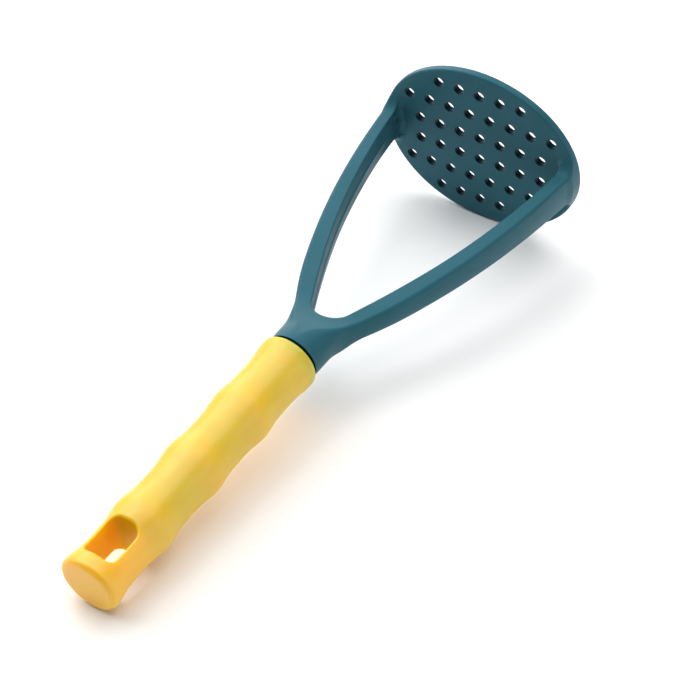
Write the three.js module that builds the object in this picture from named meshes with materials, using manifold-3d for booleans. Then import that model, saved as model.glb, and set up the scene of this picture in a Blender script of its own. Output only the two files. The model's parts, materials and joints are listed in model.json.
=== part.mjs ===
// Hand potato masher lying on its side: a perforated oval plate on a two-armed fork, with a
// bamboo-noded soft grip. Millimetres, +Z up, +X towards the plate. The origin is the centre of the
// bottom of the bounding box, so the masher rests on z = 0 on its butt and on the rim of its plate.
//
// Each piece is built in the tool's own frame: X runs along the handle from the butt face, Y is
// the long way of the plate and of the fork, Z is square to the fork. The tool group is then tipped
// until butt and rim share the ground.
import * as THREE from 'three';
import { mergeVertices } from 'three/addons/utils/BufferGeometryUtils.js';
import Module from 'manifold-3d';

const wasm = await Module();
wasm.setup();

// ---------- driving dimensions ----------

const toolLength = 273.6;        // butt face to mashing face
const meshGap = 0.3;             // clearance kept between pieces that touch

const plateHalfWidth = 47.6;     // along Y
const plateHalfHeight = 39.6;    // along Z
const plateThickness = 3.8;
const plateEdgeRound = 0.8;

const holeDiameter = 4.8;        // at the inner face
const holeDiameterAtFace = 5.6;  // at the mashing face, where the holes are wider
const holePitch = 10;            // along a row
const rowPitch = 11.55;          // between rows
const holesPerRow = [5, 8, 7, 7, 8, 5];

const forkHalfThicknessAtNeck = 4.8;
const forkHalfThicknessAtPlate = 7.6;
const forkEdgeRound = 1.1;
const crotchRadius = 8.9;
const crotchCentreX = 158;
const armRootFillet = 2.6;       // between an arm's inner face and the plate
const armFlareLength = 7;        // where an arm widens into the plate, along X
const armFlareRise = 7.5;        // the same flare, along Z

// Half-widths of the fork at stations along X, from the neck to the plate.
const forkOuterEdge = [[139, 10.9], [147, 12.8], [154, 16.2], [162, 20.2], [180, 27.5],
  [200, 34], [225, 40.3], [250, 44.6], [276, 47.7]];
const armInnerEdge = [[180, 19], [200, 26.1], [225, 32.9], [250, 37.8], [267.2, 39.8]];

const neckRadius = 11.2;
const neckRoundUntilX = 137;     // round up to here, then it flattens into the fork
const neckFlatFromX = 155;

const gripLength = 126;          // butt face to mouth
const nodeRadius = 12.45;
const nodeSpread = 6.5;
const nodePitch = 30.35;
const nodeCount = 5;
const firstNodeX = 2.1;
const valleyRadiusAtButt = 11;
const valleyRadiusAtMouth = 11.5;
const buttEdgeRound = 2.5;
const mouthEdgeRound = 1.0;
const mouthDepth = 4;            // how far the neck sits inside the mouth

const slotWidth = 13.2;
const slotStartX = 7.7;
const slotEndX = 25.7;
const slotCornerRadius = 2.8;    // at the butt end
const slotEndRadius = 4.2;       // at the other end
const slotWall = 1.8;            // grip material between the slot and the core

const coreRadius = 9.3;
const coreStartX = slotEndX + slotWall;
const tangWidth = 13;            // along Y
const tangHeight = 8;            // along Z
const tangEndX = 58;
const tangCornerRadius = 1.5;
const tangEdgeRound = 1;
const pocketEndGap = 2;          // between the tang's end and the bottom of its pocket
const barbX = 84;
const barbLength = 6;
const barbWidth = 6;
const barbRise = 1.5;
const windowSideGap = 1;         // room around a barb in its window, except at its snap face
const windowEndGap = 2;
const windowCornerRadius = 1;

const cutOverrun = 1;            // how far a cut runs past the face it opens

const roundSegments = 32;
const crotchSegments = 48;
const rimSegments = 60;
const holeSegments = 14;
const outerEdgeSteps = 22;       // per fork edge, shared out along its spline
const innerEdgeSteps = 14;
const neckSteps = 10;
const gripSteps = 32;

const forkTaperFromX = 155;
const plateInnerX = toolLength - plateThickness;
const plateMidX = toolLength - plateThickness / 2;
const neckEndX = gripLength - mouthDepth + meshGap;

// ---------- helpers ----------

// Local x, y, z to the tool's Y, Z, X: an outline drawn square to the handle, extruded along it.
const acrossHandle = new THREE.Matrix4().makeBasis(
  new THREE.Vector3(0, 1, 0), new THREE.Vector3(0, 0, 1), new THREE.Vector3(1, 0, 0));
// Local x, y, z to the tool's Z, X, Y: a lathe's axis laid along the handle.
const latheAlongHandle = new THREE.Matrix4().makeBasis(
  new THREE.Vector3(0, 0, 1), new THREE.Vector3(1, 0, 0), new THREE.Vector3(0, 1, 0));

function toSolid(geometry) {
  const bare = new THREE.BufferGeometry();
  bare.setAttribute('position', geometry.getAttribute('position'));
  if (geometry.index) bare.setIndex(geometry.index);
  const welded = mergeVertices(bare, 1e-4);
  const mesh = new wasm.Mesh({
    numProp: 3,
    vertProperties: new Float32Array(welded.getAttribute('position').array),
    triVerts: new Uint32Array(welded.index.array),
  });
  mesh.merge();
  return new wasm.Manifold(mesh);
}

function toGeometry(solid) {
  const mesh = solid.getMesh();
  const geometry = new THREE.BufferGeometry();
  geometry.setAttribute('position', new THREE.BufferAttribute(mesh.vertProperties, 3));
  geometry.setIndex(new THREE.BufferAttribute(mesh.triVerts, 1));
  geometry.computeVertexNormals();
  return geometry;
}

function vectors(pairs) {
  return pairs.map(([x, y]) => new THREE.Vector2(x, y));
}

function prism(shape, from, to, placement = new THREE.Matrix4()) {
  const geometry = new THREE.ExtrudeGeometry(shape, {
    depth: to - from, bevelEnabled: false, curveSegments: 8,
  });
  geometry.translate(0, 0, from);
  geometry.applyMatrix4(placement);
  return toSolid(geometry);
}

function roundedExtrusion(shape, from, to, round) {
  const geometry = new THREE.ExtrudeGeometry(shape, {
    depth: to - from - 2 * round,
    bevelThickness: round,
    bevelSize: round,
    bevelOffset: -round,
    bevelSegments: 2,
    curveSegments: 8,
  });
  geometry.translate(0, 0, from + round);
  return geometry;
}

function roundedPrism(shape, from, to, round, placement) {
  return toSolid(roundedExtrusion(shape, from, to, round).applyMatrix4(placement));
}

// A turned body starts half a step round, so that a flat facet is at its lowest point.
function revolved(profile) {
  const geometry = new THREE.LatheGeometry(
    profile, roundSegments, Math.PI / roundSegments, 2 * Math.PI);
  geometry.applyMatrix4(latheAlongHandle);
  return toSolid(geometry);
}

// A rectangle with rounded corners, from (x0, y0) to (x1, y1). The corners at x1 may differ.
function roundedRectangle(x0, y0, x1, y1, radius, farRadius = radius) {
  const shape = new THREE.Shape();
  shape.moveTo(x0 + radius, y0);
  shape.lineTo(x1 - farRadius, y0);
  shape.absarc(x1 - farRadius, y0 + farRadius, farRadius, -Math.PI / 2, 0);
  shape.lineTo(x1, y1 - farRadius);
  shape.absarc(x1 - farRadius, y1 - farRadius, farRadius, 0, Math.PI / 2);
  shape.lineTo(x0 + radius, y1);
  shape.absarc(x0 + radius, y1 - radius, radius, Math.PI / 2, Math.PI);
  shape.lineTo(x0, y0 + radius);
  shape.absarc(x0 + radius, y0 + radius, radius, Math.PI, 1.5 * Math.PI);
  return shape;
}

// ---------- masher head ----------

// The oval outline starts half a step round, so that a short flat facet is at its lowest point
// and the plate rests steadily on it.
function plateOutline() {
  const points = [];
  for (let i = 0; i < rimSegments; i++) {
    const angle = 2 * Math.PI * (i + 0.5) / rimSegments;
    points.push(new THREE.Vector2(
      plateHalfWidth * Math.cos(angle), plateHalfHeight * Math.sin(angle)));
  }
  return new THREE.Shape(points);
}

// Each drill is three plate thicknesses long and widens evenly towards the mashing face.
function plateHoles() {
  const middleRadius = (holeDiameter + holeDiameterAtFace) / 4;
  const widening = 3 * (holeDiameterAtFace - holeDiameter) / 4;
  const holes = [];
  holesPerRow.forEach((count, row) => {
    const z = (row - (holesPerRow.length - 1) / 2) * rowPitch;
    for (let i = 0; i < count; i++) {
      const y = (i - (count - 1) / 2) * holePitch;
      const drill = new THREE.CylinderGeometry(
        middleRadius + widening, middleRadius - widening, 3 * plateThickness, holeSegments);
      drill.applyMatrix4(latheAlongHandle);
      drill.translate(plateMidX, y, z);
      holes.push(toSolid(drill));
    }
  });
  return wasm.Manifold.union(holes);
}

// The fork gets thicker along Z from the crotch to the plate.
function forkHalfThicknessAt(x) {
  const along = THREE.MathUtils.clamp((x - forkTaperFromX) / (plateInnerX - forkTaperFromX), 0, 1);
  return THREE.MathUtils.lerp(forkHalfThicknessAtNeck, forkHalfThicknessAtPlate, along);
}

// Fork outline seen square to the fork: one arm from the neck out and back to the crotch, mirrored.
function forkOutline() {
  const outer = new THREE.SplineCurve(vectors(forkOuterEdge)).getPoints(outerEdgeSteps);
  const crotchTangent = Math.PI / 2 + Math.atan2(armInnerEdge[1][1] - armInnerEdge[0][1],
    armInnerEdge[1][0] - armInnerEdge[0][0]);
  const crotch = new THREE.EllipseCurve(crotchCentreX, 0, crotchRadius, crotchRadius,
    Math.PI, crotchTangent, true).getPoints(7);
  const crotchEnd = crotch[crotch.length - 1];
  const inner = new THREE.SplineCurve([crotchEnd, ...vectors(armInnerEdge)])
    .getPoints(innerEdgeSteps);
  const armRoot = inner[inner.length - 1];
  const fillet = new THREE.EllipseCurve(plateInnerX - armRootFillet, armRoot.y - armRootFillet,
    armRootFillet, armRootFillet, Math.PI / 2, 0, true).getPoints(4);
  const innerSide = [...crotch, ...inner.slice(1), ...fillet.slice(1)];
  const beyondPlate = new THREE.Vector2(outer[outer.length - 1].x, innerSide[innerSide.length - 1].y);
  const leftArm = [...outer, beyondPlate, ...innerSide.reverse()];
  const rightArm = leftArm.slice(0, -1).reverse().map((p) => new THREE.Vector2(p.x, -p.y));
  return new THREE.Shape([...leftArm, ...rightArm]);
}

function taperedFork() {
  const half = forkHalfThicknessAtNeck;
  const geometry = roundedExtrusion(forkOutline(), -half, half, forkEdgeRound);
  const position = geometry.getAttribute('position');
  for (let i = 0; i < position.count; i++) {
    const growth = forkHalfThicknessAt(position.getX(i)) - half;
    position.setZ(i, position.getZ(i) + Math.sign(position.getZ(i)) * growth);
  }
  return toSolid(geometry);
}

// The neck's sections run from a circle at the handle to a squared oval that lies in the fork.
function neck() {
  const edge = new THREE.SplineCurve(vectors(forkOuterEdge)).getPoints(200);
  const halfWidthAt = (x) => {
    const beyond = edge.find((p) => p.x >= x);
    return x <= forkOuterEdge[0][0] ? neckRadius : beyond.y;
  };
  const geometry = new THREE.CylinderGeometry(1, 1, 1, roundSegments, neckSteps);
  geometry.applyMatrix4(latheAlongHandle);
  const position = geometry.getAttribute('position');
  const vertex = new THREE.Vector3();
  for (let i = 0; i < position.count; i++) {
    vertex.fromBufferAttribute(position, i);
    const x = THREE.MathUtils.lerp(neckEndX, neckFlatFromX, vertex.x + 0.5);
    const flatness = THREE.MathUtils.smoothstep(x, neckRoundUntilX, neckFlatFromX);
    const halfHeight = THREE.MathUtils.lerp(neckRadius, forkHalfThicknessAtNeck, flatness);
    const power = 2 / THREE.MathUtils.lerp(2, 5, flatness);
    const halfWidth = halfWidthAt(x) - flatness * forkEdgeRound;
    position.setXYZ(i, x,
      halfWidth * Math.sign(vertex.y) * Math.abs(vertex.y) ** power,
      halfHeight * Math.sign(vertex.z) * Math.abs(vertex.z) ** power);
  }
  const crotch = new THREE.CylinderGeometry(
    crotchRadius, crotchRadius, 4 * neckRadius, crotchSegments);
  crotch.rotateX(Math.PI / 2);
  crotch.translate(crotchCentreX, 0, 0);
  return toSolid(geometry).subtract(toSolid(crotch));
}

// Each arm widens in a concave curve where it runs into the plate, inside the plate's rim.
function armFlares() {
  const side = new THREE.Shape();
  const startX = plateInnerX - armFlareLength;
  const rootZ = forkHalfThicknessAt(startX) + armFlareRise;
  side.moveTo(plateMidX, -rootZ);
  side.lineTo(plateInnerX, -rootZ);
  side.absellipse(startX, -rootZ, armFlareLength, armFlareRise, 0, Math.PI / 2);
  side.absellipse(startX, rootZ, armFlareLength, armFlareRise, -Math.PI / 2, 0);
  side.lineTo(plateMidX, rootZ);
  // The side outline is drawn in X and Z, and its extrusion is laid along Y.
  const alongY = new THREE.Matrix4().makeBasis(
    new THREE.Vector3(1, 0, 0), new THREE.Vector3(0, 0, 1), new THREE.Vector3(0, -1, 0));
  const innerY = armInnerEdge[armInnerEdge.length - 1][1];
  const right = prism(side, innerY, plateHalfWidth, alongY);
  const left = prism(side, -plateHalfWidth, -innerY, alongY);
  return right.add(left);
}

function tang() {
  const section = roundedRectangle(-tangWidth / 2, -tangHeight / 2, tangWidth / 2, tangHeight / 2,
    tangCornerRadius);
  const bar = roundedPrism(
    section, tangEndX, neckEndX + tangEdgeRound, tangEdgeRound, acrossHandle);
  const wedge = new THREE.Shape();
  wedge.moveTo(barbX, 0);
  wedge.lineTo(barbX + barbLength, 0);
  wedge.lineTo(barbX + barbLength, tangHeight / 2 + barbRise);
  wedge.lineTo(barbX, tangHeight / 2);
  const alongY = new THREE.Matrix4().makeRotationX(Math.PI / 2);
  const upper = prism(wedge, -barbWidth / 2, barbWidth / 2, alongY);
  const lower = upper.mirror([0, 0, 1]);
  return bar.add(upper).add(lower);
}

function masherHead() {
  const outline = plateOutline();
  const plate = roundedPrism(outline, plateInnerX, toolLength, plateEdgeRound, acrossHandle);
  const insideRim = prism(outline, neckRoundUntilX, plateMidX, acrossHandle);
  const fork = taperedFork();
  const arms = fork.add(armFlares()).intersect(insideRim);
  return plate.add(arms).add(neck()).add(tang()).subtract(plateHoles());
}

// ---------- handle ----------

function gripRadiusAt(x) {
  const along = x / gripLength;
  const valley = THREE.MathUtils.lerp(valleyRadiusAtButt, valleyRadiusAtMouth, along);
  let radius = valley;
  for (let i = 0; i < nodeCount; i++) {
    const distance = (x - firstNodeX - i * nodePitch) / nodeSpread;
    radius += (nodeRadius - valley) * Math.exp(-distance * distance);
  }
  return radius;
}

function gripProfile() {
  const buttRim = gripRadiusAt(buttEdgeRound);
  const mouthRim = gripRadiusAt(gripLength - mouthEdgeRound);
  const butt = new THREE.EllipseCurve(buttEdgeRound, buttRim - buttEdgeRound,
    buttEdgeRound, buttEdgeRound, Math.PI, Math.PI / 2, true).getPoints(4);
  const mouth = new THREE.EllipseCurve(gripLength - mouthEdgeRound, mouthRim - mouthEdgeRound,
    mouthEdgeRound, mouthEdgeRound, Math.PI / 2, 0, true).getPoints(3);
  const side = [];
  for (let i = 1; i < gripSteps; i++) {
    const x = THREE.MathUtils.lerp(buttEdgeRound, gripLength - mouthEdgeRound, i / gripSteps);
    side.push(new THREE.Vector2(x, gripRadiusAt(x)));
  }
  const outline = [new THREE.Vector2(0, 0), ...butt, ...side, ...mouth,
    new THREE.Vector2(gripLength, 0)];
  return outline.map((p) => new THREE.Vector2(p.y, p.x));
}

// Hanging slot seen square to the fork, with tighter corners at the butt end.
function hangingSlot() {
  const slot = roundedRectangle(slotStartX, -slotWidth / 2, slotEndX, slotWidth / 2,
    slotCornerRadius, slotEndRadius);
  return prism(slot, -2 * nodeRadius, 2 * nodeRadius);
}

function steppedBar(steps) {
  const profile = [new THREE.Vector2(0, steps[0].x)];
  for (const { x, radius, until } of steps) {
    profile.push(new THREE.Vector2(radius, x), new THREE.Vector2(radius, until));
  }
  profile.push(new THREE.Vector2(0, steps[steps.length - 1].until));
  return revolved(profile);
}

function gripSleeve() {
  const body = revolved(gripProfile());
  const cavity = steppedBar([
    { x: coreStartX - meshGap, radius: coreRadius + meshGap, until: gripLength - mouthDepth },
    { x: gripLength - mouthDepth, radius: neckRadius + meshGap, until: gripLength + cutOverrun },
  ]);
  return body.subtract(cavity).subtract(hangingSlot());
}

function handleCore() {
  const frontX = gripLength - mouthDepth - meshGap;
  const body = steppedBar([{ x: coreStartX, radius: coreRadius, until: frontX }]);
  const pocketSection = roundedRectangle(
    -tangWidth / 2 - meshGap, -tangHeight / 2 - meshGap,
    tangWidth / 2 + meshGap, tangHeight / 2 + meshGap, tangCornerRadius + meshGap);
  const pocket = prism(
    pocketSection, tangEndX - pocketEndGap, frontX + cutOverrun, acrossHandle);
  const windowHalfWidth = barbWidth / 2 + windowSideGap;
  const window = roundedRectangle(barbX - windowEndGap, -windowHalfWidth,
    barbX + barbLength + meshGap, windowHalfWidth, windowCornerRadius);
  const windows = prism(window, -2 * coreRadius, 2 * coreRadius);
  return body.subtract(pocket).subtract(windows);
}

// ---------- assembly ----------

function piece(name, solid, material) {
  const mesh = new THREE.Mesh(toGeometry(solid), material);
  mesh.name = name;
  return mesh;
}

// Lowest point of one mesh when the tool is tipped by an angle about Y.
function lowestPoint(mesh, angle) {
  const position = mesh.geometry.getAttribute('position');
  const lowest = { x: 0, z: 0, height: Infinity };
  for (let i = 0; i < position.count; i++) {
    const x = position.getX(i);
    const z = position.getZ(i);
    const height = x * Math.sin(angle) + z * Math.cos(angle);
    if (height < lowest.height) Object.assign(lowest, { x, z, height });
  }
  return lowest;
}

// The tip that brings the grip's butt and the plate's rim to the same height.
function restingTip(grip, head) {
  let angle = 0;
  for (let i = 0; i < 5; i++) {
    const butt = lowestPoint(grip, angle);
    const rim = lowestPoint(head, angle);
    angle = Math.atan2(butt.z - rim.z, rim.x - butt.x);
  }
  return angle;
}

const tealNylon = new THREE.MeshStandardMaterial({
  name: 'teal nylon', color: '#2f5c66', roughness: 0.42, metalness: 0,
});
const whitePolypropylene = new THREE.MeshStandardMaterial({
  name: 'natural polypropylene', color: '#e9e6dc', roughness: 0.5, metalness: 0,
});
const yellowSoftTouch = new THREE.MeshStandardMaterial({
  name: 'yellow soft-touch elastomer', color: '#f2c83c', roughness: 0.62, metalness: 0,
});

const masher = piece('masher_head', masherHead(), tealNylon);
const core = piece('handle_core', handleCore(), whitePolypropylene);
const grip = piece('grip_sleeve', gripSleeve(), yellowSoftTouch);

const tool = new THREE.Group();
tool.add(masher, core, grip);
tool.rotation.y = -restingTip(grip, masher);

const model = new THREE.Group();
model.add(tool);
const box = new THREE.Box3().setFromObject(model, true);
const centre = box.getCenter(new THREE.Vector3());
tool.position.set(-centre.x, -centre.y, -box.min.z);

export default model;
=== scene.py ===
import json
import math

import bpy
import numpy as np
from mathutils import Matrix, Vector


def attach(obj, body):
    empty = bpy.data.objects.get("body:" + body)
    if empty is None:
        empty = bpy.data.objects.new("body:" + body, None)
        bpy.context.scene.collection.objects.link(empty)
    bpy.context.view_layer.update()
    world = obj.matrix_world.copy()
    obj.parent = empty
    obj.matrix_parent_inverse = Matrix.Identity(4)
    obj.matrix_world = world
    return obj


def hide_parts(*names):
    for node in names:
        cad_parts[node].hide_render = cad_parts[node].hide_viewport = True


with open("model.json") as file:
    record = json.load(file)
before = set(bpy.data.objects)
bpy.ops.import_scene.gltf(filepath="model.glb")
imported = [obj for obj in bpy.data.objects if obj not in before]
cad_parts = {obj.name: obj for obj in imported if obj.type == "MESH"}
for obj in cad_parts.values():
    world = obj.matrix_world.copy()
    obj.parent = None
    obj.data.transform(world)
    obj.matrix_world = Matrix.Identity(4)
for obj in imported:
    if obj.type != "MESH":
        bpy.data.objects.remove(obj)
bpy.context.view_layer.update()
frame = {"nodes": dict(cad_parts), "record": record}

# ---------- driving dimensions, in millimetres in the tool's own frame ----------
# X runs along the handle from the butt face, Y is the long way of the plate, Z is square to the fork.

MM = 0.001
TINY = 1e-9                          # keeps a division from being by nothing
TINY_LENGTH = 1e-6                   # the same for a sum of lengths

TOOL_LENGTH = 273.6
PLATE_HALF_WIDTH = 47.6
PLATE_HALF_HEIGHT = 39.5
PLATE_THICKNESS = 3.8
PLATE_EDGE_ROUND = 0.9
PLATE_INNER_X = TOOL_LENGTH - PLATE_THICKNESS

HOLE_RADIUS = (2.4, 2.8)             # at the inner face and, wider, at the mashing face
HOLE_RIM_ROUND = 0.25
HOLE_PITCH = 10.0                    # along a row
ROW_PITCH = 11.55
HOLES_PER_ROW = np.array([5, 8, 7, 7, 8, 5])

# Half-widths of the fork at stations along X: its outer edge, then the arms' inner edge.
FORK_OUTER = [(118, 11.2), (130, 11.2), (137, 11.22), (141, 11.5), (147, 13.1), (154, 16.6),
              (162, 20.7), (180, 28.0), (200, 34.5), (225, 40.7), (250, 45.0), (276, 48.0)]
ARM_INNER = [(180, 19.0), (200, 26.1), (225, 32.9), (250, 37.8), (267.2, 39.9), (280, 40.9)]
CROTCH_X = 158.0                     # centre of the round crotch between the arms
CROTCH_RADIUS = 8.9
CROTCH_EXIT_SLOPE = 0.46             # slope of the inner edge where it leaves the crotch
FORK_HALF_THICKNESS = (4.8, 7.6)     # at the neck and at the plate
FORK_TAPER_X = (155.0, PLATE_INNER_X)
ARM_OUTER_ROUND = 1.3
ARM_INNER_ROUND = 0.5
FLANK_CROWN = 0.7                    # how far an arm's outer flank bulges at its middle
FLANK_DRAFT = 0.1                    # slope of an arm's inner flank away from the parting line
PARTING_RIDGE = 0.25                 # height of the ridge along the inner flank's middle
PARTING_RIDGE_HALF_WIDTH = 0.8
ARM_ROOT_FLARE = 7.2                 # fillet radius where an arm's broad faces meet the plate
ARM_ROOT_FILLET = 2.6                # the same where its inner flank does

NECK_RADIUS = 11.2
NECK_FLATTENS_X = (126.0, 155.0)     # where the neck goes from a round bar to a flat one
NECK_SQUARES_X = (127.0, 148.0)      # where its section turns from round to square-edged
NECK_CROWN = 1.7                     # extra bulge of the neck's flanks
NECK_CROWN_X = 138.0                 # where that bulge is greatest
NECK_CROWN_SPREAD = 4.5
CROWN_LIMIT = 1.5                    # cap on the crown's growth above the broad faces
NECK_SHOULDER_X = 127.6              # the neck's end face, just outside the grip's mouth
NECK_SHOULDER_ROUND = 0.3
NECK_GROOVE_RADIUS = 10.4            # the thinner spigot that goes on into the grip
SPIGOT_END_GAP = 0.3
SPIGOT_OVERLAP = 2                   # how far the spigot runs on inside the neck

GRIP_LENGTH = 126.0
NODE_RADIUS = 12.45                  # at the crest of one of the grip's swellings
NODE_SPREAD = 6.5
NODE_COUNT = 5
FIRST_NODE_X = 2.1
NODE_PITCH = 30.35
NODE_XS = [FIRST_NODE_X + NODE_PITCH * i for i in range(NODE_COUNT)]
VALLEY_RADIUS = (11.0, 11.5)         # between the nodes, at the butt and at the mouth
BUTT_ROUND = 2.5
MOUTH_ROUND = 0.65
MOUTH_DEPTH = 4.0
MOUTH_RADIUS = 11.65
BORE_RADIUS = 9.6                    # the hollow that holds the core
BORE_START_X = 27.2
BORE_OVERRUN = 1                     # how far it runs on into the mouth

SLOT_X = (7.7, 25.7)
SLOT_WIDTH = 13.2
SLOT_BUTT_CORNER = 2.8
SLOT_END_CORNER = 4.2
SLOT_RIM_ROUND = 1.0

TANG_END_X = 58.0
TANG_HALF_SIZE = (6.5, 4.0)
TANG_CORNER = 1.5
TANG_END_ROUND = 1.0
BARB_X = (84.0, 90.0)
BARB_HALF_WIDTH = 3.0
BARB_RISE = 1.5

# Each moulded piece is meshed on a grid inside a box a little larger than it.
GRID_STEP = 0.3
SLOPE_STEP = 0.01                    # how far off a point its slope is measured
HEAD_BOX = ((56, -49, -41.5), (275, 49, 41.5))
HEAD_TRIANGLES = 190000
GRIP_BOX = ((-2, -14, -14), (128, 14, 14))
GRIP_TRIANGLES = 150000

# The walls this marks get painted shade (nylon) or painted bounce light (slot walls) in their colour.
WALL_MARK = "opening_wall"           # point attribute, 1 on the walls of holes, slot and groove

# The camera and the floor, in metres in the row frame.
CAMERA_AT = Vector((-0.4357, -0.3137, 0.5086))
CAMERA_AIM = Vector((0.0131, -0.0062, 0.0199))
CAMERA_ROLL = math.radians(-0.624)
CAMERA_LENS_MM = 97.2

FLOOR_HALF_SIZE = 3.0


# ---------- distance fields ----------

def cubic_through(stations, start_slope=None):
    """A function giving height and slope of the smooth curve through (x, height) stations."""
    xs = np.array([s[0] for s in stations], float)
    ys = np.array([s[1] for s in stations], float)
    gaps = np.diff(xs)
    rises = np.diff(ys) / gaps
    n = len(xs)
    matrix = np.zeros((n, n))
    right = np.zeros(n)
    matrix[0, :2] = (2, 1) if start_slope is None else (1, 0)
    right[0] = 3 * rises[0] if start_slope is None else start_slope
    matrix[-1, -2:] = (1, 2)
    right[-1] = 3 * rises[-1]
    for i in range(1, n - 1):
        matrix[i, i - 1:i + 2] = (gaps[i], 2 * (gaps[i - 1] + gaps[i]), gaps[i - 1])
        right[i] = 3 * (gaps[i] * rises[i - 1] + gaps[i - 1] * rises[i])
    slopes = np.linalg.solve(matrix, right)

    def curve(x):
        x = np.clip(x, xs[0], xs[-1])
        i = np.clip(np.searchsorted(xs, x) - 1, 0, n - 2)
        gap = gaps[i]
        t = (x - xs[i]) / gap
        c = 3 * rises[i] - 2 * slopes[i] - slopes[i + 1]
        d = slopes[i] + slopes[i + 1] - 2 * rises[i]
        height = ys[i] + gap * t * (slopes[i] + t * (c + t * d))
        slope = slopes[i] + t * (2 * c + 3 * t * d)
        return height, slope
    return curve


def smooth_step(x, start, end):
    """Rises smoothly from 0 at start to 1 at end."""
    t = np.clip((x - start) / (end - start), 0, 1)
    return t * t * (3 - 2 * t)


def steepness(slope):
    """What a height difference is multiplied by to become a distance."""
    return 1 / np.sqrt(1 + slope * slope)


def rounded_and(a, b, radius):
    """What is inside both a and b, with the edge between them rounded."""
    return np.minimum(-radius, np.maximum(a, b)) + np.hypot(
        np.maximum(a + radius, 0), np.maximum(b + radius, 0))


def rounded_or(a, b, radius):
    """What is inside a or b, with the corner between them filleted."""
    return np.maximum(radius, np.minimum(a, b)) - np.hypot(
        np.maximum(radius - a, 0), np.maximum(radius - b, 0))


def rounded_box_2d(u, v, half_u, half_v, corner):
    """Distance to a rectangle with rounded corners, negative inside it."""
    qu = np.abs(u) - half_u + corner
    qv = np.abs(v) - half_v + corner
    return np.minimum(np.maximum(qu, qv), 0) + np.hypot(
        np.maximum(qu, 0), np.maximum(qv, 0)) - corner


def ellipse_2d(u, v, half_u, half_v):
    """Approximate distance to an ellipse, exact at its edge and negative inside it."""
    k0 = np.hypot(u / half_u, v / half_v)
    k1 = np.hypot(u / half_u ** 2, v / half_v ** 2)
    return k0 * (k0 - 1) / np.maximum(k1, TINY)


fork_outer = cubic_through(FORK_OUTER)
crotch_exit_angle = math.atan(CROTCH_EXIT_SLOPE)
crotch_exit = (CROTCH_X - CROTCH_RADIUS * math.sin(crotch_exit_angle),
               CROTCH_RADIUS * math.cos(crotch_exit_angle))
arm_inner = cubic_through([crotch_exit] + ARM_INNER, CROTCH_EXIT_SLOPE)


def fork_gap(x, y):
    """Distance to the opening between the arms, negative inside the opening."""
    side = np.abs(y)
    to_crotch = np.hypot(x - CROTCH_X, side) - CROTCH_RADIUS
    edge, slope = arm_inner(x)
    to_edge = (side - edge) * steepness(slope)
    ahead = (x - CROTCH_X) * math.cos(crotch_exit_angle) + side * math.sin(crotch_exit_angle)
    return np.where(ahead < 0, to_crotch, to_edge)


def fork_envelope(x, y, z):
    """The fork's and the neck's outside, and the height above the fork's broad faces.

    The section is round at the grip and turns into a flat bar that widens.
    """
    flat = smooth_step(x, *NECK_FLATTENS_X)
    along = np.clip((x - FORK_TAPER_X[0]) / (FORK_TAPER_X[1] - FORK_TAPER_X[0]), 0, 1)
    bar = FORK_HALF_THICKNESS[0] + (FORK_HALF_THICKNESS[1] - FORK_HALF_THICKNESS[0]) * along
    half_z = NECK_RADIUS + (bar - NECK_RADIUS) * flat
    half_y, slope_y = fork_outer(x)
    flat_ahead = smooth_step(x + SLOPE_STEP, *NECK_FLATTENS_X)
    slope_z = (NECK_RADIUS - bar) * (flat_ahead - flat) / SLOPE_STEP
    corner = NECK_RADIUS + (ARM_OUTER_ROUND - NECK_RADIUS) * smooth_step(x, *NECK_SQUARES_X)
    corner = np.minimum(corner, half_z)
    to_top = (np.abs(z) - half_z) * steepness(slope_z)
    neck_crown = NECK_CROWN * np.exp(-((x - NECK_CROWN_X) / NECK_CROWN_SPREAD) ** 2)
    crown = (FLANK_CROWN * flat + neck_crown) * np.minimum((z / half_z) ** 2, CROWN_LIMIT)
    to_side = (np.abs(y) - half_y + crown) * steepness(slope_y)
    qy = to_side + corner
    qz = to_top + corner
    rounded = np.minimum(np.maximum(qy, qz), 0) + np.hypot(
        np.maximum(qy, 0), np.maximum(qz, 0)) - corner
    return rounded, to_top


def plate_holes(x, y, z):
    """Distance to the nearest hole's wall, negative inside a hole."""
    rows = len(HOLES_PER_ROW)
    row = np.clip(np.round(z / ROW_PITCH + (rows - 1) / 2), 0, rows - 1).astype(int)
    row_z = (row - (rows - 1) / 2) * ROW_PITCH
    last = HOLES_PER_ROW[row] - 1
    column = np.clip(np.round(y / HOLE_PITCH + last / 2), 0, last)
    hole_y = (column - last / 2) * HOLE_PITCH
    depth = np.clip((x - PLATE_INNER_X) / PLATE_THICKNESS, 0, 1)
    radius = HOLE_RADIUS[0] + (HOLE_RADIUS[1] - HOLE_RADIUS[0]) * depth
    return np.hypot(y - hole_y, z - row_z) - radius


def head_recess(x, y, z):
    """Distance to a hole's wall or to the groove at the grip, large on the rest of the head."""
    in_plate = x > PLATE_INNER_X + HOLE_RIM_ROUND / 2
    to_bore = np.where(in_plate, np.abs(plate_holes(x, y, z)), PLATE_THICKNESS)
    return np.minimum(to_bore, np.maximum(x - NECK_SHOULDER_X, 0))


def tang(x, y, z):
    """The bar inside the grip, with its two barbs."""
    across = rounded_box_2d(y, z, *TANG_HALF_SIZE, TANG_CORNER)
    bar = rounded_and(across, TANG_END_X - x, TANG_END_ROUND)
    rise = TANG_HALF_SIZE[1] + BARB_RISE * (x - BARB_X[0]) / (BARB_X[1] - BARB_X[0])
    barb = np.maximum.reduce([
        np.abs(y) - BARB_HALF_WIDTH, np.abs(z) - rise, BARB_X[0] - x, x - BARB_X[1]])
    return np.maximum(np.minimum(bar, barb), x - GRIP_LENGTH)


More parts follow.
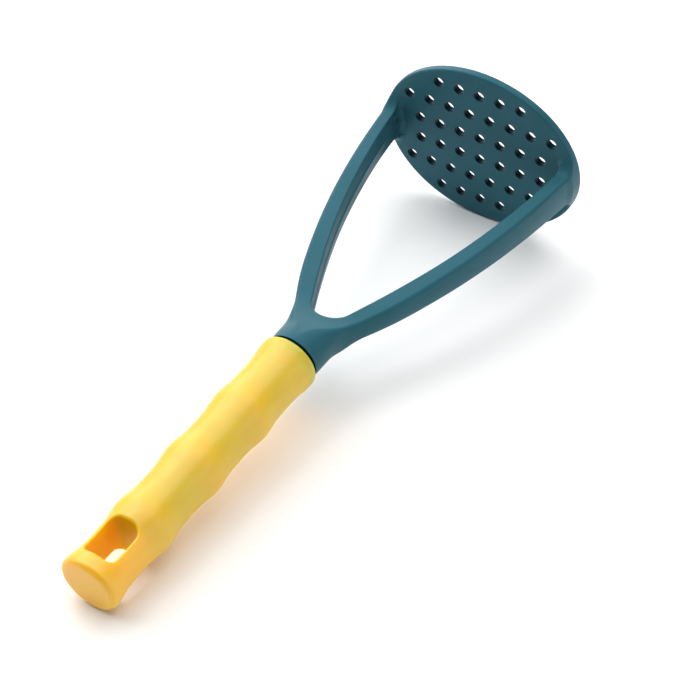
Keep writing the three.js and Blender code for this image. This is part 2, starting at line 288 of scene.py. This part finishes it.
def spigot(x, y, z):
    """The thinner end of the neck that shows as a groove at the grip's mouth."""
    start_x = GRIP_LENGTH - MOUTH_DEPTH + SPIGOT_END_GAP
    return np.maximum.reduce([
        np.hypot(y, z) - NECK_GROOVE_RADIUS, start_x - x, x - NECK_SHOULDER_X - SPIGOT_OVERLAP])


def arms_on_plate(x, y, z):
    """The neck and the two arms, filleted into the space beyond the plate's inner face."""
    envelope, to_top = fork_envelope(x, y, z)
    gap = fork_gap(x, y) - FLANK_DRAFT * np.minimum(np.abs(z), 2 * FORK_HALF_THICKNESS[1])
    ridge = PARTING_RIDGE * np.exp(-(z / PARTING_RIDGE_HALF_WIDTH) ** 2)
    arms = rounded_and(envelope, -gap - ridge, ARM_INNER_ROUND)
    over = np.maximum(to_top, 0)
    inward = np.maximum(-gap, 0)
    beyond = over + inward + TINY_LENGTH
    fillet = ARM_ROOT_FLARE + (ARM_ROOT_FILLET - ARM_ROOT_FLARE) * inward / beyond
    return rounded_or(arms, PLATE_INNER_X - x, fillet)


def head_field(points):
    """The masher head: plate, arms, neck and tang in one moulding."""
    x, y, z = points[..., 0], points[..., 1], points[..., 2]
    body = arms_on_plate(x, y, z)
    body = rounded_and(
        body, ellipse_2d(y, z, PLATE_HALF_WIDTH, PLATE_HALF_HEIGHT), PLATE_EDGE_ROUND)
    body = rounded_and(body, x - TOOL_LENGTH, PLATE_EDGE_ROUND)
    holes = np.maximum(plate_holes(x, y, z), PLATE_INNER_X - PLATE_THICKNESS - x)
    body = rounded_and(body, -holes, HOLE_RIM_ROUND)
    body = rounded_and(body, NECK_SHOULDER_X - x, NECK_SHOULDER_ROUND)
    return np.minimum.reduce([body, spigot(x, y, z), tang(x, y, z)])


def grip_radius(x):
    """The grip's outside radius and its slope along the handle."""
    along = x / GRIP_LENGTH
    valley = VALLEY_RADIUS[0] + (VALLEY_RADIUS[1] - VALLEY_RADIUS[0]) * along
    radius = valley.copy()
    slope = np.full_like(radius, (VALLEY_RADIUS[1] - VALLEY_RADIUS[0]) / GRIP_LENGTH)
    for node_x in NODE_XS:
        distance = (x - node_x) / NODE_SPREAD
        swell = (NODE_RADIUS - valley) * np.exp(-distance * distance)
        radius += swell
        slope -= 2 * distance / NODE_SPREAD * swell
    return radius, slope


def slot(x, y):
    """Distance to the hanging slot's wall, negative inside the slot."""
    middle = (SLOT_X[0] + SLOT_X[1]) / 2
    half_length = (SLOT_X[1] - SLOT_X[0]) / 2
    corner = np.where(x > middle, SLOT_END_CORNER, SLOT_BUTT_CORNER)
    return rounded_box_2d(x - middle, y, half_length, SLOT_WIDTH / 2, corner)


def slot_wall(x, y, z):
    """Distance to the hanging slot's wall, kept large at its rims."""
    depth = grip_radius(x)[0] - np.hypot(y, z)
    return np.maximum(np.abs(slot(x, y)), SLOT_RIM_ROUND - depth)


def grip_field(points):
    """The grip's skin: noded outside, closed butt, hollow for the core, mouth and slot."""
    x, y, z = points[..., 0], points[..., 1], points[..., 2]
    rho = np.hypot(y, z)
    radius, slope = grip_radius(x)
    body = (rho - radius) * steepness(slope)
    body = rounded_and(body, -x, BUTT_ROUND)
    body = rounded_and(body, x - GRIP_LENGTH, MOUTH_ROUND)
    bore_end = GRIP_LENGTH - MOUTH_DEPTH
    bore = np.maximum.reduce([rho - BORE_RADIUS, BORE_START_X - x, x - bore_end - BORE_OVERRUN])
    mouth = np.maximum(rho - MOUTH_RADIUS, bore_end - x)
    body = np.maximum(body, -np.minimum(bore, mouth))
    return rounded_and(body, -slot(x, y), SLOT_RIM_ROUND)


# ---------- meshing ----------

BLOCK = 8                            # grid cells along one side of a block
BLOCKS_AT_ONCE = 500
KEPT_DISTANCE = 1.6                  # in blocks: those further from the surface are skipped
SMALLEST_SLOPE = 0.05                # floor for a gradient's squared length
CORNERS = np.array([(i, j, k) for i in (0, 1) for j in (0, 1) for k in (0, 1)])
EDGES = [(a, b) for a in range(8) for b in range(a + 1, 8)
         if np.abs(CORNERS[a] - CORNERS[b]).sum() == 1]
NEXT_CORNERS = (4, 2, 1)             # one step from the first corner along X, Y and Z


def grid_points(size):
    """Whole-number coordinates of a grid of the given size."""
    return np.stack(np.meshgrid(*[np.arange(n) for n in size], indexing="ij"), -1)


def gradient(field, points):
    """The field's slope at each point, from small steps both ways along each axis."""
    result = np.empty_like(points)
    for axis in range(3):
        ahead = points.copy()
        behind = points.copy()
        ahead[:, axis] += SLOPE_STEP
        behind[:, axis] -= SLOPE_STEP
        result[:, axis] = (field(ahead) - field(behind)) / (2 * SLOPE_STEP)
    return result


def onto_surface(field, points, reach, rounds=4):
    """Moves points to the field's zero surface, no further than reach in one round."""
    for _ in range(rounds):
        slope = gradient(field, points)
        size = np.maximum((slope * slope).sum(1), SMALLEST_SLOPE)
        move = slope * (field(points) / size)[:, None]
        length = np.linalg.norm(move, axis=1, keepdims=True)
        points = points - move * np.minimum(1, reach / np.maximum(length, TINY))
    return points


def blocks_near_surface(field, low, size, step):
    blocks = grid_points(size).reshape(-1, 3)
    middles = low + (blocks + 0.5) * step * BLOCK
    return blocks[np.abs(field(middles)) < KEPT_DISTANCE * step * BLOCK]


def crossed_cells(field, low, step, blocks):
    """Cells that the surface crosses, a vertex in each, and how it crosses their first edges."""
    nodes = blocks[:, None, None, None, :] * BLOCK + grid_points([BLOCK + 1] * 3)
    values = field(low + nodes * step)
    corner_values = np.stack([
        values[:, i:i + BLOCK, j:j + BLOCK, k:k + BLOCK] for i, j, k in CORNERS], -1)
    inside = (corner_values < 0).sum(-1)
    crossed = (inside > 0) & (inside < len(CORNERS))
    cells = nodes[:, :BLOCK, :BLOCK, :BLOCK][crossed]
    v = corner_values[crossed]
    total = np.zeros((len(v), 3))
    count = np.zeros(len(v))
    for a, b in EDGES:
        cut = (v[:, a] < 0) != (v[:, b] < 0)
        t = np.where(cut, v[:, a] / np.where(cut, v[:, a] - v[:, b], 1), 0)
        total += cut[:, None] * (CORNERS[a] + t[:, None] * (CORNERS[b] - CORNERS[a]))
        count += cut
    vertices = low + (cells + total / count[:, None]) * step
    first = v[:, 0] < 0
    way_out = np.where(first, 1, -1)
    crossings = np.stack([
        np.where(first != (v[:, corner] < 0), way_out, 0) for corner in NEXT_CORNERS], 1)
    return cells, vertices, crossings


def joined_quads(keys, crossings, strides):
    """One quad round each crossed edge, between the vertices of the four cells that share it."""
    order = np.argsort(keys)
    sorted_keys = keys[order]
    quads = []
    for axis in range(3):
        b, c = strides[(axis + 1) % 3], strides[(axis + 2) % 3]
        for sign in (1, -1):
            own = keys[crossings[:, axis] == sign]
            ring = [own - b - c, own - c, own, own - b][::sign]
            quads.append(np.stack([order[np.searchsorted(sorted_keys, k)] for k in ring], 1))
    return np.concatenate(quads)


def surface_net(field, low, high, step):
    """Vertices and quads of the field's zero surface, one vertex in each crossed cell."""
    low = np.array(low, float)
    size = np.ceil((np.array(high) - low) / (step * BLOCK)).astype(int)
    blocks = blocks_near_surface(field, low, size, step)
    chunks = np.array_split(blocks, max(1, len(blocks) // BLOCKS_AT_ONCE))
    parts = [crossed_cells(field, low, step, chunk) for chunk in chunks]
    cells, vertices, crossings = [np.concatenate(part) for part in zip(*parts)]
    strides = np.array([size[1] * size[2] * BLOCK ** 2, size[2] * BLOCK, 1])
    return vertices, joined_quads(cells @ strides, crossings, strides)


def mesh_from_arrays(name, vertices, quads):
    mesh = bpy.data.meshes.new(name)
    mesh.vertices.add(len(vertices))
    mesh.vertices.foreach_set("co", vertices.astype(np.float32).ravel())
    mesh.loops.add(quads.size)
    mesh.loops.foreach_set("vertex_index", quads.astype(np.int32).ravel())
    mesh.polygons.add(len(quads))
    mesh.polygons.foreach_set("loop_start", np.arange(0, quads.size, 4, dtype=np.int32))
    mesh.update(calc_edges=True)
    mesh.validate()
    return mesh


def vertex_points(mesh):
    points = np.empty(len(mesh.vertices) * 3, np.float32)
    mesh.vertices.foreach_get("co", points)
    return points.reshape(-1, 3)


def tool_to_row():
    """The tool's frame placed in the row frame by the mount on its butt face."""
    butt = next(m for m in frame["record"]["mounts"] if m["name"] == "butt_face")
    along = -Vector(butt["axis"]).normalized()
    across = Vector((0, 1, 0))
    matrix = Matrix((along, across, along.cross(across))).transposed().to_4x4()
    matrix.translation = Vector(butt["pos_m"])
    return matrix


TOOL_TO_ROW = tool_to_row()


def thinned_mesh(name, vertices, quads, triangles):
    """A mesh of about the given number of triangles, kept dense only where it curves."""
    dense = bpy.data.objects.new(name + "_dense", mesh_from_arrays(name + "_dense", vertices, quads))
    bpy.context.scene.collection.objects.link(dense)
    thin = dense.modifiers.new("thin", "DECIMATE")
    thin.ratio = min(1.0, triangles / (2 * len(quads)))
    mesh = bpy.data.meshes.new_from_object(
        dense.evaluated_get(bpy.context.evaluated_depsgraph_get()))
    mesh.name = name
    bpy.data.objects.remove(dense)
    return mesh


def piece_from_field(name, field, low, high, step, triangles):
    """A mesh object in the row frame: netted, thinned where it is flat, and true to the field."""
    vertices, quads = surface_net(field, low, high, step)
    vertices = onto_surface(field, vertices, step)
    mesh = thinned_mesh(name, vertices, quads, triangles)
    points = onto_surface(field, vertex_points(mesh).astype(float), step / 2, rounds=3)
    normals = gradient(field, points)
    normals /= np.maximum(np.linalg.norm(normals, axis=1, keepdims=True), TINY)
    turn = np.array(TOOL_TO_ROW.to_3x3())
    at = np.array(TOOL_TO_ROW.translation)
    mesh.vertices.foreach_set("co", (points * MM @ turn.T + at).astype(np.float32).ravel())
    mesh.polygons.foreach_set("use_smooth", np.ones(len(mesh.polygons), bool))
    mesh.normals_split_custom_set_from_vertices((normals @ turn.T).tolist())
    mesh.update()
    piece = bpy.data.objects.new(name, mesh)
    bpy.context.scene.collection.objects.link(piece)
    return piece


def mark_walls(piece, wall_distance, rim_round):
    """Stores 1 on the walls of an opening and 0 elsewhere, for the painted shade and painted bounce
    light in the material's colour.
    """
    mesh = piece.data
    back = TOOL_TO_ROW.inverted()
    points = vertex_points(mesh) @ np.array(back.to_3x3()).T + np.array(back.translation)
    distance = np.abs(wall_distance(*(points / MM).T))
    mark = mesh.attributes.new(WALL_MARK, "FLOAT", "POINT")
    inside = 1 - smooth_step(distance, rim_round / 3, rim_round)
    mark.data.foreach_set("value", inside.astype(np.float32))


# ---------- materials ----------

def linear(red, green, blue):
    """An sRGB colour from 0 to 255 as a linear one."""
    def one(value):
        value /= 255
        return value / 12.92 if value <= 0.04045 else ((value + 0.055) / 1.055) ** 2.4
    return (one(red), one(green), one(blue), 1.0)


def new_material(name):
    """A material with its node tree, its shader and the object's own coordinates."""
    material = bpy.data.materials.new(name)
    material.use_nodes = True
    tree = material.node_tree
    shader = tree.nodes["Principled BSDF"]
    place = tree.nodes.new("ShaderNodeTexCoord").outputs["Object"]
    return material, tree, shader, place


def noise(tree, place, size_mm, detail=3.0):
    """Grey noise whose patches are about size_mm across."""
    node = tree.nodes.new("ShaderNodeTexNoise")
    node.inputs["Scale"].default_value = 1 / (size_mm * MM)
    node.inputs["Detail"].default_value = detail
    tree.links.new(place, node.inputs["Vector"])
    return node.outputs["Fac"]


def ramp(tree, value, low, high, start, end):
    """Maps a grey value from start..end to low..high, numbers or colours."""
    node = tree.nodes.new("ShaderNodeMapRange" if isinstance(low, float) else "ShaderNodeValToRGB")
    if isinstance(low, float):
        node.inputs["From Min"].default_value = start
        node.inputs["From Max"].default_value = end
        node.inputs["To Min"].default_value = low
        node.inputs["To Max"].default_value = high
        tree.links.new(value, node.inputs["Value"])
        return node.outputs["Result"]
    node.color_ramp.elements[0].position = start
    node.color_ramp.elements[0].color = low
    node.color_ramp.elements[1].position = end
    node.color_ramp.elements[1].color = high
    tree.links.new(value, node.inputs["Fac"])
    return node.outputs["Color"]


def bump(tree, height, depth_mm, strength, base=None):
    """A normal with a grey height added to it, on top of base if that is given."""
    node = tree.nodes.new("ShaderNodeBump")
    node.inputs["Distance"].default_value = depth_mm * MM
    node.inputs["Strength"].default_value = strength
    tree.links.new(height, node.inputs["Height"])
    if base is not None:
        tree.links.new(base, node.inputs["Normal"])
    return node.outputs["Normal"]


def opening_wall(tree):
    """The mark that mark_walls stores: 1 on the walls of an opening."""
    node = tree.nodes.new("ShaderNodeAttribute")
    node.attribute_name = WALL_MARK
    return node.outputs["Fac"]


def paint_light_on_walls(tree, wall, colour, tint):
    """The colour, multiplied by a tint of painted light on the walls of an opening: painted shade or
    painted bounce light.
    """
    shade = ramp(tree, wall, linear(255, 255, 255), tint, 0.0, 1.0)
    product = tree.nodes.new("ShaderNodeVectorMath")
    product.operation = "MULTIPLY"
    tree.links.new(colour, product.inputs[0])
    tree.links.new(shade, product.inputs[1])
    return product.outputs["Vector"]


def nylon_material():
    """Teal moulded nylon, with painted shade on the walls of the holes and of the groove at the grip.
    """
    material, tree, shader, place = new_material("teal_nylon")
    mottling = noise(tree, place, 18.0, 2.0)
    colour = ramp(tree, mottling, linear(43, 92, 103), linear(47, 95, 110), 0.35, 0.65)
    wall = opening_wall(tree)
    # painted shade: the walls of the holes and the groove are darkened to a deep blue-grey
    wall_painted_colour = paint_light_on_walls(tree, wall, colour, linear(100, 118, 128))
    tree.links.new(wall_painted_colour, shader.inputs["Base Color"])
    sheen = ramp(tree, noise(tree, place, 5.0), 0.36, 0.43, 0.3, 0.7)
    tree.links.new(sheen, shader.inputs["Roughness"])
    grain = bump(tree, noise(tree, place, 0.5), 0.02, 0.12)
    waves = bump(tree, noise(tree, place, 9.0, 1.0), 0.05, 0.15, grain)
    tree.links.new(waves, shader.inputs["Normal"])
    # a lower specular level on those walls goes with the painted shade
    specular = ramp(tree, wall, 0.2, 0.06, 0.0, 1.0)
    tree.links.new(specular, shader.inputs["Specular IOR Level"])
    shader.inputs["Specular Tint"].default_value = (0.3, 0.8, 1.0, 1.0)
    return material


def elastomer_material():
    """Yellow soft-touch skin that lets some light through, with painted bounce light on the slot
    walls, tinted a deeper orange.
    """
    material, tree, shader, place = new_material("yellow_elastomer")
    mottling = noise(tree, place, 14.0, 2.0)
    colour = ramp(tree, mottling, linear(253, 193, 20), linear(255, 197, 28), 0.35, 0.65)
    wall = opening_wall(tree)
    # painted bounce light: the slot walls are tinted a deeper, more saturated orange than the rest of
    # the skin
    wall_painted_colour = paint_light_on_walls(tree, wall, colour, linear(255, 260, 190))
    tree.links.new(wall_painted_colour, shader.inputs["Base Color"])
    sheen = ramp(tree, noise(tree, place, 3.0), 0.37, 0.44, 0.3, 0.7)
    tree.links.new(sheen, shader.inputs["Roughness"])
    grain = bump(tree, noise(tree, place, 0.35), 0.02, 0.5)
    tree.links.new(grain, shader.inputs["Normal"])
    # a lower specular level on the slot walls goes with the painted bounce light
    specular = ramp(tree, wall, 0.85, 0.2, 0.0, 1.0)
    tree.links.new(specular, shader.inputs["Specular IOR Level"])
    shader.inputs["Subsurface Weight"].default_value = 0.8
    shader.inputs["Subsurface Radius"].default_value = (1.0, 0.45, 0.1)
    shader.inputs["Subsurface Scale"].default_value = 0.006
    return material


def polypropylene_material():
    """Unpigmented moulded plastic of the hidden core."""
    material, tree, shader, place = new_material("natural_polypropylene")
    mottling = noise(tree, place, 10.0, 2.0)
    colour = ramp(tree, mottling, linear(226, 222, 210), linear(236, 232, 222), 0.35, 0.65)
    tree.links.new(colour, shader.inputs["Base Color"])
    sheen = ramp(tree, noise(tree, place, 2.0), 0.42, 0.55, 0.3, 0.7)
    tree.links.new(sheen, shader.inputs["Roughness"])
    grain = bump(tree, noise(tree, place, 0.4), 0.02, 0.4)
    tree.links.new(grain, shader.inputs["Normal"])
    return material


def floor_material():
    material, tree, shader, place = new_material("floor")
    patches = noise(tree, place, 60.0, 2.0)
    tone = ramp(tree, patches, linear(250, 250, 250), linear(253, 253, 253), 0.3, 0.7)
    tree.links.new(tone, shader.inputs["Base Color"])
    shader.inputs["Roughness"].default_value = 0.9
    return material


# ---------- the object ----------

head = piece_from_field(
    "masher_head_moulding", head_field, *HEAD_BOX, GRID_STEP, HEAD_TRIANGLES)
# marks the hole and groove walls that get the nylon's painted shade
mark_walls(head, head_recess, HOLE_RIM_ROUND)
head.data.materials.append(nylon_material())
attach(head, "root")
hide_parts("masher_head")

grip = piece_from_field(
    "grip_sleeve_skin", grip_field, *GRIP_BOX, GRID_STEP, GRIP_TRIANGLES)
# marks the slot walls that get the skin's painted bounce light
mark_walls(grip, slot_wall, SLOT_RIM_ROUND)
grip.data.materials.append(elastomer_material())
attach(grip, "root")
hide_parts("grip_sleeve")

core = frame["nodes"]["handle_core"]
core.data.materials.clear()
core.data.materials.append(polypropylene_material())


# ---------- floor, light and camera ----------

def make_floor():
    mesh = bpy.data.meshes.new("floor")
    half = FLOOR_HALF_SIZE
    mesh.from_pydata([(-half, -half, 0), (half, -half, 0), (half, half, 0), (-half, half, 0)],
                     [], [(0, 1, 2, 3)])
    floor = bpy.data.objects.new("floor", mesh)
    bpy.context.scene.collection.objects.link(floor)
    floor.data.materials.append(floor_material())


def soft_light(name, at, size, watts, aim=(0, 0, 0.02)):
    light = bpy.data.lights.new(name, "AREA")
    light.shape = "DISK"
    light.size = size
    light.energy = watts
    lamp = bpy.data.objects.new(name, light)
    lamp.location = at
    lamp.rotation_euler = (Vector(aim) - Vector(at)).to_track_quat("-Z", "Y").to_euler()
    bpy.context.scene.collection.objects.link(lamp)


def make_camera():
    camera = bpy.data.objects.new("camera", bpy.data.cameras.new("camera"))
    camera.data.lens = CAMERA_LENS_MM
    camera.data.clip_start = 0.01
    look = (CAMERA_AIM - CAMERA_AT).to_track_quat("-Z", "Y").to_matrix().to_4x4()
    camera.matrix_world = Matrix.Translation(CAMERA_AT) @ look @ Matrix.Rotation(
        CAMERA_ROLL, 4, "Z")
    bpy.context.scene.collection.objects.link(camera)
    bpy.context.scene.camera = camera


def make_world():
    world = bpy.data.worlds.new("studio")
    world.use_nodes = True
    background = world.node_tree.nodes["Background"]
    background.inputs["Color"].default_value = (1.0, 1.0, 1.0, 1.0)
    background.inputs["Strength"].default_value = 0.12
    bpy.context.scene.world = world


make_floor()
soft_light("key", (-0.1, 1.6, 1.6), 2.6, 43)
soft_light("overhead", (0.6, 0.0, 2.3), 3.0, 46)
soft_light("fill", (0.4, -2.2, 0.9), 1.8, 12)
soft_light("back", (1.7, 1.5, 0.8), 1.8, 20)
make_world()
make_camera()
bpy.context.scene.view_settings.view_transform = "Standard"
